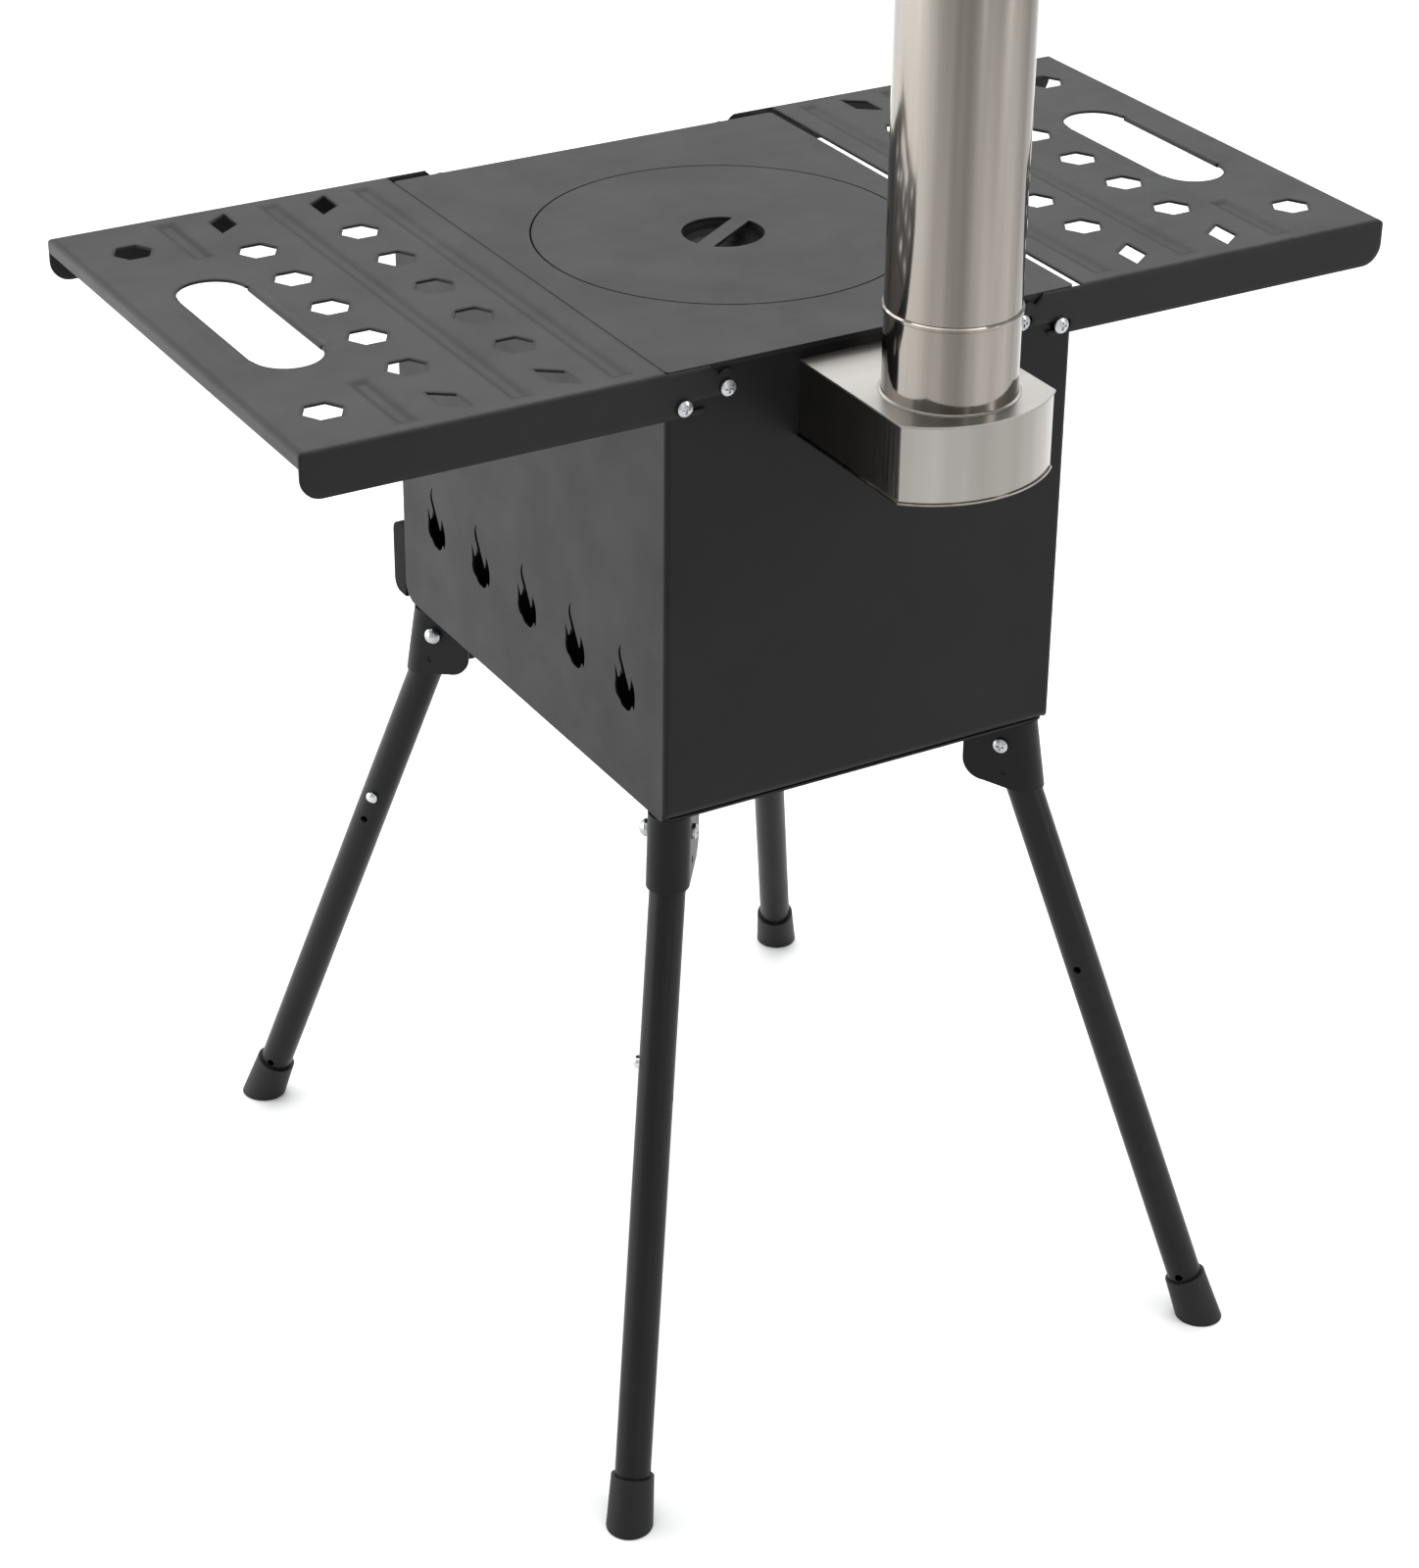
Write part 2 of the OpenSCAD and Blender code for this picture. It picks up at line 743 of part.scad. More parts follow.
// Children at each shelf screw of one wall: Z points out of the wall, origin on its outer face
module at_shelf_screws(end) {
  for (side = [-1, 1])
    for (p = [[screw_a_in, screw_a_down], [screw_b_in, screw_b_down]])
      to_end(end) translate([side * (half_w - p[0]), half_d, deck_h - p[1]])
        rotate([-90, 0, 0]) children();
}

module shelf_screws() {
  seat = head_seat - half_d;
  below = sheet + nut_t + screw_end;
  color("#c8c8c8") {
    at_shelf_screws(1) translate([0, 0, seat]) pan_screw(seat + below, screw_r);
    at_shelf_screws(-1) {
      translate([0, 0, seat + front_out]) pan_screw(seat + front_out + below, screw_r);
      cylinder(h = front_out, r = shoulder_r);
    }
  }
}

module shelf_nuts() {
  color("#9a9a9a") for (end = [-1, 1])
    at_shelf_screws(end) translate([0, 0, -sheet - nut_t]) difference() {
      cylinder(h = nut_t, r = nut_r, $fn = 6);
      translate([0, 0, -cut]) cylinder(h = nut_t + 2 * cut, r = screw_r + thread_gap);
    }
}

// Flue

// Outline of the flue box behind the back wall, grown by a lap, from a given Y on
module box_plan(lap, from_y) {
  mid_y = box_len - box_r;
  w = box_w / 2 + lap;
  translate([0, half_d]) {
    flat([-w, from_y], [w, mid_y]);
    intersection() {
      flat([-w, mid_y], [w, box_len + lap]);
      translate([0, mid_y]) circle(box_r + lap, $fn = 128);
    }
  }
}

module flue_box_shell() {
  color("#b9b5ae") translate([0, 0, box_low + box_t]) linear_extrude(box_h - 2 * box_t) difference() {
    box_plan(0, 0);
    box_plan(-box_t, -cut);
  }
}

module flue_box_top() {
  color("#d4d2ce") translate([0, 0, box_top - box_t]) linear_extrude(box_t) difference() {
    box_plan(box_lap, 0);
    translate([0, half_d + pipe_y]) circle(bore_r, $fn = 128);
  }
}

module flue_box_bottom() {
  color("#b9b5ae") translate([0, 0, box_low]) linear_extrude(box_t) box_plan(box_lip, 0);
}

// Outline of a pipe's wall at a bead with the spigot above it, from the pipe's end up
module bead_outline(start_z, low_r) {
  neck_in = spigot_r - pipe_wall;
  polygon([
    [low_r - pipe_wall, start_z],
    [low_r, start_z],
    [low_r, 0],
    [low_r + bead_out, bead_h / 4],
    [low_r + bead_out, bead_h * 3 / 4],
    [low_r, bead_h],
    [spigot_r, bead_h],
    [spigot_r, bead_h + spigot_len],
    [neck_in, bead_h + spigot_len],
    [neck_in, 0],
    [low_r - pipe_wall, 0]
  ]);
}

module flue_collar() {
  color("#b9b5ae") translate([0, half_d + pipe_y, bead_z])
    rotate_extrude($fn = 128) bead_outline(-collar_h, pipe_r);
}

module pipe_section() {
  color("#b9b5ae") translate([0, half_d + pipe_y, pipe_z + pipe_len - bead_h])
    rotate_extrude($fn = 128) bead_outline(bead_h - pipe_len, pipe_r);
}

// Lid

module lid_plate() {
  color("#5c5c5e") translate([0, 0, deck_h - lid_t]) linear_extrude(lid_t) difference() {
    circle(lid_r, $fn = 128);
    difference() {
      circle(recess_d / 2);
      rotate(bar_turn) square([recess_d + cut, bar_w], center = true);
    }
  }
}

module lid_cup() {
  rim_r = recess_d / 2;
  low_r = rim_r + cup_wall;
  inner = bend([rim_r, 0], [rim_r * dish_bend_share, -cup_depth], [rim_r * dish_flat_share, -cup_depth]);
  outer = bend(
    [rim_r * dish_flat_share, -cup_depth - cup_wall],
    [low_r * dish_bend_share, -cup_depth - cup_wall],
    [low_r, -cup_wall]
  );
  color("#4a4a4c") translate([0, 0, deck_h - lid_t]) rotate_extrude() polygon(concat(
    [[rim_r, 0]],
    inner,
    [[0, -cup_depth], [0, -cup_depth - cup_wall], [rim_r * dish_flat_share, -cup_depth - cup_wall]],
    outer,
    [[rim_r + cup_rim, -cup_wall], [rim_r + cup_rim, 0]]
  ));
}

// Shelves, drawn for the right side: X is measured from the firebox's side

// Side view of a deep flange: hook fingers inside, round lower corner outside
module flange_side() {
  slot_half = screw_r + hook_gap;
  eye_z = eye_up_share * eye_r - screw_b_down;
  tip = screw_b_in * lower_tip_share;
  below = flange_depth - screw_a_down - slot_half;
  difference() {
    union() {
      polygon([
        [shelf_len - bend_r, 0],
        [-screw_b_in * finger_top_share, 0],
        [-screw_b_in * finger_neck_share, -screw_b_down * finger_neck_down_share],
        [-screw_b_in - eye_r, -screw_b_down + slot_half],
        [-screw_b_in - eye_r, slot_half - screw_a_down],
        [-tip, -screw_a_down - slot_half],
        [below - tip, -flange_depth],
        [shelf_len - flange_corner_r, -flange_depth],
        [shelf_len, flange_corner_r - flange_depth],
        [shelf_len, -bend_r]
      ]);
      translate([shelf_len - bend_r, -bend_r]) circle(bend_r);
      intersection() {
        translate([shelf_len - flange_corner_r, flange_corner_r - flange_depth]) circle(flange_corner_r);
        flat([shelf_len - flange_corner_r, -flange_depth], [shelf_len, 0]);
      }
      translate([-screw_b_in, eye_z]) circle(eye_r);
    }
    translate([-screw_b_in, -screw_b_down]) {
      circle(slot_half);
      flat([-eye_r - cut, -slot_half], [0, slot_half]);
    }
    translate([-screw_a_in, -screw_a_down]) {
      circle(slot_half);
      flat([-screw_b_in - eye_r, -slot_half], [0, slot_half]);
    }
  }
}

// Cross section of the shelf over its whole width
module shelf_section(inner) {
  w = shelf_half - inner;
  r = bend_r - inner;
  difference() {
    flat([-w, -flange_depth - (inner > 0 ? cut : 0)], [w, -inner]);
    for (end = [-1, 1])
      to_side(end) translate([w, -inner]) rotate(180) corner_waste(r);
  }
}

// Profile of a rib's hollow over half its width or length, carried on up over its top
module rib_profile(half, rise) {
  polygon([
    [-half, rise],
    [half, rise],
    [half, 0],
    [half - rib_slope, -rib_depth],
    [rib_slope - half, -rib_depth],
    [-half, 0]
  ]);
}

module rib(x, from_y, to_y, grow, rise) {
  half_x = rib_w / 2 + grow;
  half_y = (to_y - from_y) / 2 + grow;
  translate([x, (from_y + to_y) / 2, 0]) intersection() {
    translate([0, half_y + cut, 0]) on_front(2 * (half_y + cut)) rib_profile(half_x, rise);
    translate([-half_x - cut, 0, 0]) on_side(2 * (half_x + cut)) rib_profile(half_y, rise);
  }
}

module ribs(grow, rise) {
  rib(rib_1_x, -rib_1_half, rib_1_half, grow, rise);
  rib(rib_2_x, -rib_2_half, rib_2_half, grow, rise);
  for (end = [-1, 1])
    to_end(end) rib(rib_3_x, rib_3_from, rib_3_to, grow, rise);
}

// Section of a hem: the sheet folded under, its nose on the hole's edge
module hem_section() {
  difference() {
    flat([0, -2 * sheet], [hem_w, 0]);
    mirror([0, 1]) corner_waste(sheet);
    translate([0, -2 * sheet]) corner_waste(sheet);
  }
}

module shelf_holes() {
  for (x = [hex_row_1, hex_row_2]) {
    for (i = [0 : hex_count - 1])
      translate([x, (i - (hex_count - 1) / 2) * hex_pitch]) circle(hex_r, $fn = 6);
    for (end = [-1, 1])
      to_end(end) translate([x, rhomb_y]) polygon([
        [rhomb_w / 2, (rhomb_len - rhomb_slant) / 2],
        [rhomb_w / 2, -(rhomb_len + rhomb_slant) / 2],
        [-rhomb_w / 2, -(rhomb_len - rhomb_slant) / 2],
        [-rhomb_w / 2, (rhomb_len + rhomb_slant) / 2]
      ]);
  }
  for (end = [-1, 1])
    translate([hex_row_3, end * hex_row_3_y]) circle(hex_r, $fn = 6);
  translate([hand_x, 0]) {
    long_slot(hand_w, hand_len);
    for (side = [-1, 1])
      for (end = [-1, 1])
        translate([side * hand_w / 2, end * (hand_len - hand_w) / 2]) circle(nick_r);
  }
}

module shelf() {
  hem_half = (hand_len - hand_w) / 2 - nick_r;
  difference() {
    union() {
      intersection() {
        difference() {
          rotate([90, 0, 90]) translate([0, 0, -screw_b_in - 2 * eye_r])
            linear_extrude(shelf_len + screw_b_in + 2 * eye_r) shelf_section(0);
          rotate([90, 0, 90]) translate([0, 0, -screw_b_in - 2 * eye_r - cut])
            linear_extrude(shelf_len + screw_b_in + 2 * eye_r - sheet + cut) shelf_section(sheet);
        }
        translate([0, shelf_half + cut, 0]) on_front(2 * (shelf_half + cut)) flange_side();
      }
      translate([0, 0, -sheet]) ribs(sheet, sheet / 2);
    }
    block(
      [-screw_b_in - 2 * eye_r, -shelf_half + sheet, -bend_r - cut],
      [shelf_gap, shelf_half - sheet, cut]
    );
    block(
      [shelf_len - 2 * sheet, -shelf_half + sheet, -flange_depth - cut],
      [shelf_len + cut, shelf_half - sheet, -end_flange]
    );
    ribs(0, cut);
    translate([0, 0, -end_flange]) linear_extrude(end_flange + cut) shelf_holes();
    for (side = [-1, 1])
      translate([hand_x, 0, 0]) to_side(side)
        block([0, -hem_half, -sheet - cut], [hand_w / 2 + hem_w / 2, hem_half, cut]);
  }
  for (side = [-1, 1])
    translate([hand_x, hem_half, 0]) to_side(side)
      translate([hand_w / 2, 0, 0]) on_front(2 * hem_half) hem_section();
}

module shelf_right() {
  color("#5c5c5e") translate([half_w, -front_out / 2, deck_h]) shelf();
}

module shelf_left() {
  color("#5c5c5e") to_side(-1) translate([half_w + left_shelf_out, -front_out / 2, deck_h]) shelf();
}

// Leg brackets

// Side view of a bracket, seen across the leg's fold
module bracket_side() {
  difference() {
    polygon([
      [-cheek_in, pivot_down],
      [tab_from + tab_len, pivot_down],
      [tab_from + tab_len, wrap_top],
      [wrap_foot + 2 * wrap_r, wrap_top],
      [wrap_foot + 2 * wrap_r, -wrap_down],
      [wrap_foot, -wrap_down],
      [cheek_r - cheek_in, -cheek_down],
      [-cheek_in, -cheek_down]
    ]);
    translate([-cheek_in, -cheek_down]) corner_waste(cheek_r);
  }
}

// Outline of a channel with a round back, open towards -X
module channel_plan(r, open) {
  circle(r);
  flat([-wrap_span - open, -r], [0, r]);
}

// The channel along the leaning axis of its round back
module bracket_channel() {
  translate([wrap_foot, 0, -wrap_down]) rotate([0, -wrap_lean, 0]) translate([0, 0, -wrap_down])
    linear_extrude(3 * wrap_down) difference() {
      channel_plan(wrap_r, 0);
      channel_plan(wrap_in_r, cut);
    }
}

module bracket() {
  difference() {
    intersection() {
      bracket_channel();
      translate([0, wrap_r + cut, 0]) on_front(2 * (wrap_r + cut)) bracket_side();
    }
    translate([0, wrap_r + cut, 0]) rotate([90, 0, 0])
      cylinder(h = 2 * (wrap_r + cut), r = pivot_d / 2 + thread_gap);
    for (turn = [-1, 1])
      to_end(turn) translate([dimple_out, wrap_r + cut, -dimple_down]) rotate([90, 0, 0])
        cylinder(h = dimple_t + cut, r = dimple_d / 2);
  }
  for (turn = [-1, 1])
    to_end(turn) difference() {
      block([tab_from, wrap_r - sheet / 2, wrap_top], [tab_from + tab_len, wrap_r + tab_w, pivot_down]);
      translate([tab_from + tab_len / 2, tab_mid, wrap_top - cut])
        cylinder(h = sheet + 2 * cut, r = rivet_r + thread_gap);
    }
}

// Children at each rivet of the brackets: origin under the tab
module at_bracket_rivets() {
  for (side = [-1, 1])
    for (end = [-1, 1])
      for (turn = [-1, 1])
        at_leg(side, end) translate([tab_from + tab_len / 2, turn * tab_mid, wrap_top]) children();
}

module bracket_rivets() {
  color("#303030") at_bracket_rivets() {
    translate([0, 0, -rivet_head_t]) cylinder(h = rivet_head_t, r = rivet_head_d / 2);
    cylinder(h = 2 * sheet, r = rivet_r);
  }
}

module pivot_screws() {
  color("#8c8c8c") for (side = [-1, 1])
    for (end = [-1, 1])
      at_leg(side, end) translate([0, wrap_r, 0]) rotate([-90, 0, 0])
        pan_screw(2 * wrap_r + cap_rim, pivot_d / 2);
}

module pivot_nuts() {
  dome_r = (pow(cap_d / 2, 2) + pow(cap_dome, 2)) / (2 * cap_dome);
  color("#2a2a2b") for (side = [-1, 1])
    for (end = [-1, 1])
      at_leg(side, end) translate([0, -wrap_r, 0]) rotate([90, 0, 0]) difference() {
        intersection() {
          cylinder(h = cap_rim + cap_dome, r = cap_d / 2);
          translate([0, 0, cap_rim + cap_dome - dome_r]) sphere(dome_r);
        }
        translate([0, 0, -cut]) cylinder(h = cap_rim + thread_gap + cut, r = pivot_d / 2 + thread_gap);
      }
}

// Legs, in the frame of their pivot with -Z down the tube

module side_hole(z, r, reach_r) {
  translate([0, 0, z]) rotate([90, 0, 0]) cylinder(h = reach_r + cut, r = r);
}

module cross_hole(z, r) {
  translate([0, leg_r + cut, z]) rotate([90, 0, 0]) cylinder(h = 2 * (leg_r + cut), r = r);
}

module upper_tube() {
  color("#2a2a2b") along_leg() difference() {
    translate([0, 0, -joint_down]) cylinder(h = joint_down + leg_top, r = leg_r);
    translate([0, 0, -joint_down - cut]) cylinder(h = joint_down + leg_top + 2 * cut, r = leg_bore_r);
    cross_hole(0, pivot_d / 2 + pivot_gap);
    cross_hole(cross_up - joint_down, cross_d / 2);
    side_hole(button_z, button_r + button_gap, leg_r);
  }
}

module lower_tube() {
  color("#2a2a2b") along_leg() difference() {
    union() {
      translate([0, 0, -tube_end]) cylinder(h = tube_end - joint_down, r = leg_r);
      translate([0, 0, -joint_down]) cylinder(h = neck_len, r = neck_r);
    }
    translate([0, 0, -tube_end - cut])
      cylinder(h = tube_end - joint_down - leg_wall + cut, r = leg_bore_r);
    translate([0, 0, -tube_end - cut])
      cylinder(h = tube_end - joint_down + neck_len + 2 * cut, r = neck_bore_r);
    cross_hole(cross_up - joint_down, cross_d / 2);
    cross_hole(foot_hole_up - foot_rim, cross_d / 2);
    side_hole(button_z, button_r + button_gap, leg_r);
  }
}

module foot() {
  over = foot_d * tan(splay);
  spread = (foot_d - foot_rim_d) / 2;
  color("#1c1c1c") intersection() {
    along_leg() difference() {
      translate([0, 0, -foot_rim - foot_h - over])
        cylinder(h = foot_h + over, r1 = foot_d / 2 + spread * over / foot_h, r2 = foot_rim_d / 2);
      translate([0, 0, -tube_end]) cylinder(h = foot_h, r = leg_r + thread_gap);
    }
    translate([leg_len * sin(splay), 0, -pivot_z])
      linear_extrude(2 * foot_h) square(4 * foot_d, center = true);
  }
}

module snap_button() {
  tip = leg_r + button_out;
  dome_r = (pow(button_r, 2) + pow(button_out / 2, 2)) / button_out;
  color("#d8d8d8") along_leg() translate([0, 0, button_z]) rotate([90, 0, 0]) intersection() {
    translate([0, 0, strip_r + button_gap]) cylinder(h = tip - strip_r - button_gap, r = button_r);
    union() {
      translate([0, 0, tip - dome_r]) sphere(dome_r);
      cylinder(h = tip - dome_r, r = button_d);
    }
  }
}

module button_spring() {
  inner = strip_r - strip_t;
  color("#b0b0b0") along_leg() translate([strip_w / 2, 0, button_z + strip_above])
    rotate([0, -90, 0]) linear_extrude(strip_w) {
      difference() {
        circle(strip_r);
        circle(inner);
        flat([-2 * strip_r, -2 * strip_r], [0, 2 * strip_r]);
      }
      for (turn = [-1, 1])
        to_end(turn) flat([-strip_above - strip_below, inner], [0, strip_r]);
    }
}

// Front

module door_panel() {
  color("#2a2a2b") difference() {
    translate([0, -door_back, door_mid_z])
      on_front(sheet) round_flat([door_w, door_h], door_r);
    translate([latch_x, cut - door_back, door_mid_z]) rotate([90, 0, 0])
      cylinder(h = sheet + 2 * cut, r = latch_r + latch_gap);
    translate([0, cut - door_back, disc_z]) rotate([90, 0, 0])
      cylinder(h = sheet + 2 * cut, r = pin_r + thread_gap);
    air_holes(cut - door_back, sheet + 2 * cut);
    at_hinges() moving_rivet_places() translate([0, hinge_y - door_face - cut, 0]) rotate([-90, 0, 0])
      cylinder(h = sheet + 2 * cut, r = rivet_r + thread_gap);
  }
}

module air_holes(y, len) {
  for (i = [0 : air_count - 1])
    translate([0, y, disc_z]) rotate([0, i * 360 / air_count, 0]) translate([0, 0, air_ring])
      rotate([90, 0, 0]) cylinder(h = len, r = air_r);
}

module air_disc() {
  color("#3a3a3a") difference() {
    union() {
      translate([0, -door_face - disc_gap, disc_z]) rotate([90, 0, 0]) cylinder(h = disc_t, r = disc_r);
      rotate_about_disc(180 / air_count)
        block(
          [-thumb_h / 2, -door_face - disc_gap - disc_t - thumb_h, disc_z + disc_r - 2 * disc_t],
          [thumb_h / 2, -door_face - disc_gap, disc_z + disc_r - disc_t]
        );
    }
    air_holes(cut - door_face, disc_t + disc_gap + 2 * cut);
    translate([0, cut - door_face, disc_z]) rotate([90, 0, 0])
      cylinder(h = disc_t + disc_gap + 2 * cut, r = pin_r + pin_gap);
  }
}

module rotate_about_disc(turn) {
  translate([0, 0, disc_z]) rotate([0, turn, 0]) translate([0, 0, -disc_z]) children();
}

module air_rivet() {
  seat = disc_t + 2 * disc_gap;
  color("#9a9a9a") translate([0, -door_face - seat, disc_z]) rotate([90, 0, 0]) {
    cylinder(h = rivet_head_t, r = rivet_head_d / 2 + pin_r / 2);
    translate([0, 0, -seat - sheet]) cylinder(h = seat + sheet, r = pin_r);
    translate([0, 0, -seat - sheet - rivet_head_t]) cylinder(h = rivet_head_t, r = rivet_head_d / 2);
  }
}

// Children at each hinge: origin on the hinge's axis, halfway up
module at_hinges() {
  for (end = [-1, 1])
    translate([hinge_x, -hinge_y, door_mid_z + end * hinge_pitch / 2]) children();
}

module knuckle(low, high) {
  difference() {
    translate([0, 0, low]) cylinder(h = high - low, r = knuckle_r);
    translate([0, 0, low - cut]) cylinder(h = high - low + 2 * cut, r = pin_r + pin_gap);
  }
}

module door_hinge_fixed() {
  half = hinge_h / 2;
  mid = knuckle_h / 2;
  color("#3a3a3a") at_hinges() {
    difference() {
      block([0, hinge_y - half_d - sheet, -half], [leaf_len, hinge_y - half_d, half]);
      block(
        [-cut, -knuckle_r, -mid],
        [knuckle_r + knuckle_gap, knuckle_r + knuckle_gap + cut, mid]
      );
      translate([0, 0, -half - cut]) cylinder(h = hinge_h + 2 * cut, r = pin_r + pin_gap);
      leaf_rivet_places() translate([0, hinge_y - half_d - sheet - cut, 0]) rotate([-90, 0, 0])
        cylinder(h = sheet + 2 * cut, r = rivet_r + thread_gap);
    }
    knuckle(-half, -mid);
    knuckle(mid, half);
  }
}

// Children at the two rivets of a leaf
module leaf_rivet_places() {
  for (end = [-1, 1])
    translate([leaf_len * leaf_rivet_share, 0, end * hinge_h * leaf_rivet_up_share]) children();
}

module hinge_rivets_fixed() {
  color("#303030") at_hinges() leaf_rivet_places()
    translate([0, hinge_y - half_d - sheet, 0]) rotate([90, 0, 0]) {
      cylinder(h = rivet_head_t, r = rivet_head_d / 2);
      translate([0, 0, -2 * sheet]) cylinder(h = 2 * sheet, r = rivet_r);
    }
}

module door_hinge_pins() {
  half = hinge_h / 2;
  color("#9a9a9a") at_hinges() {
    translate([0, 0, -half]) cylinder(h = hinge_h, r = pin_r);
    translate([0, 0, half]) cylinder(h = pin_head_t, r = knuckle_r);
  }
}

module door_hinge_moving() {
  half = hinge_h / 2;
  mid = knuckle_h / 2 - knuckle_gap;
  back = hinge_y - door_face;
  reach = hinge_x - door_w / 2 + leaf_len;
  color("#3a3a3a") at_hinges() {
    difference() {
      block([-reach, back - sheet, -half], [0, back, half]);
      for (low = [-half - cut, mid])
        block(
          [-knuckle_r - knuckle_gap, back - sheet - cut, low],
          [cut, back + cut, low + half + cut - mid]
        );
      translate([0, 0, -half - cut]) cylinder(h = hinge_h + 2 * cut, r = pin_r + pin_gap);
      moving_rivet_places() translate([0, back - sheet - cut, 0]) rotate([-90, 0, 0])
        cylinder(h = sheet + 2 * cut, r = rivet_r + thread_gap);
    }
    knuckle(-mid, mid);
  }
}

module moving_rivet_places() {
  for (end = [-1, 1])
    translate([
      door_w / 2 - hinge_x - leaf_len * (1 - leaf_rivet_share) - rivet_d,
      0,
      end * hinge_h * leaf_rivet_up_share
    ]) children();
}

module hinge_rivets_moving() {
  back = hinge_y - door_face;
  color("#303030") at_hinges() moving_rivet_places()
    translate([0, back - sheet, 0]) rotate([90, 0, 0]) {
      cylinder(h = rivet_head_t, r = rivet_head_d / 2);
      translate([0, 0, -2 * sheet]) cylinder(h = 2 * sheet, r = rivet_r);
    }
}

module latch_handle() {
  tongue_face = half_d - sheet - tongue_gap;
  lever_y = -door_face - lever_off;
  color("#3a3a3a") translate([latch_x, 0, door_mid_z]) {
    translate([0, -tongue_face, 0]) rotate([90, 0, 0])
      cylinder(h = -lever_y - tongue_face + lever_t, r = latch_r);
    translate([0, -door_face - knuckle_gap, 0]) rotate([90, 0, 0])
      cylinder(h = lever_off - knuckle_gap, r = lever_w / 2);
    translate([0, lever_y, 0]) on_front(lever_t) {
      circle(lever_w / 2);
      flat([-lever_w / 2, -lever_len], [lever_w / 2, 0]);
      translate([0, -lever_len]) circle(lever_w / 2);
    }
  }
}

module latch_tongue() {
  tongue_face = half_d - sheet - tongue_gap;
  color("#3a3a3a") translate([latch_x, -tongue_face, door_mid_z]) rotate([-90, 0, 0]) linear_extrude(tongue_t) {
    circle(tongue_w / 2);
    flat([-tongue_w / 2, -tongue_len], [tongue_w / 2, 0]);
  }
}

// Side view of the ash tray, from its rounded front edge back
module tray_section(inner) {
  len = drawer_out - sheet + tray_len;
  difference() {
    flat([inner, inner], [len - inner, tray_h + (inner > 0 ? cut : 0)]);
    translate([inner, inner]) corner_waste(drawer_r - sheet - inner);
  }
}

module ash_tray() {
  color("#3a3a3a") translate([0, sheet - drawer_face, tray_z]) difference() {
    translate([-tray_w / 2, 0, 0]) on_side(tray_w) tray_section(0);
    translate([tray_t - tray_w / 2, 0, 0]) on_side(tray_w - 2 * tray_t) tray_section(tray_t);
  }
}

// Side view of the drawer's front: Y forwards from its back edge, Z up
module drawer_section(inner) {
  r = drawer_r - inner;
  len = drawer_out - drawer_gap - inner;
  difference() {
    flat([inner > 0 ? -cut : 0, inner], [len, drawer_h - inner]);
    translate([len, inner]) mirror([1, 0]) corner_waste(r);
    translate([len, drawer_h - inner]) rotate(180) corner_waste(r);
  }
}

module ash_drawer_front() {
  color("#2a2a2b") translate([0, -half_d - drawer_gap, base_z]) mirror([0, 1, 0]) difference() {
    translate([-half_w, 0, 0]) on_side(body_w) drawer_section(0);
    translate([sheet - half_w, 0, 0]) on_side(body_w - 2 * sheet) drawer_section(sheet);
  }
}

// One leg's pieces at each corner

module bracket_at(side, end) {
  color("#2a2a2b") at_leg(side, end) bracket();
}

firebox_shell();
front_panel();
floor_pan();
top_plate();
lid_ledge();
grate_rails();
fire_grate();
shelf_screws();
shelf_nuts();
flue_box_shell();
flue_box_top();
flue_box_bottom();
flue_collar();
bracket_at(1, 1);  // bracket_back_right
bracket_at(1, -1);  // bracket_front_right
bracket_at(-1, 1);  // bracket_back_left
bracket_at(-1, -1);  // bracket_front_left
bracket_rivets();
pivot_screws();
pivot_nuts();
door_hinge_fixed();
door_hinge_pins();
hinge_rivets_fixed();
door_panel();
door_hinge_moving();
hinge_rivets_moving();
air_rivet();
latch_handle();
latch_tongue();
air_disc();
ash_tray();
ash_drawer_front();
lid_plate();
lid_cup();
pipe_section();
shelf_right();
shelf_left();
at_leg(1, 1) upper_tube();  // upper_tube_back_right
at_leg(1, 1) lower_tube();  // lower_tube_back_right
at_leg(1, 1) foot();  // foot_back_right
at_leg(1, 1) snap_button();  // snap_button_back_right
at_leg(1, 1) button_spring();  // button_spring_back_right
at_leg(1, -1) upper_tube();  // upper_tube_front_right
at_leg(1, -1) lower_tube();  // lower_tube_front_right
at_leg(1, -1) foot();  // foot_front_right
at_leg(1, -1) snap_button();  // snap_button_front_right
at_leg(1, -1) button_spring();  // button_spring_front_right
at_leg(-1, 1) upper_tube();  // upper_tube_back_left
at_leg(-1, 1) lower_tube();  // lower_tube_back_left
at_leg(-1, 1) foot();  // foot_back_left
at_leg(-1, 1) snap_button();  // snap_button_back_left
at_leg(-1, 1) button_spring();  // button_spring_back_left
at_leg(-1, -1) upper_tube();  // upper_tube_front_left
at_leg(-1, -1) lower_tube();  // lower_tube_front_left
at_leg(-1, -1) foot();  // foot_front_left
at_leg(-1, -1) snap_button();  // snap_button_front_left
at_leg(-1, -1) button_spring();  // button_spring_front_left
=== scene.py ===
import json
import math
import bpy
from mathutils import Matrix, Vector


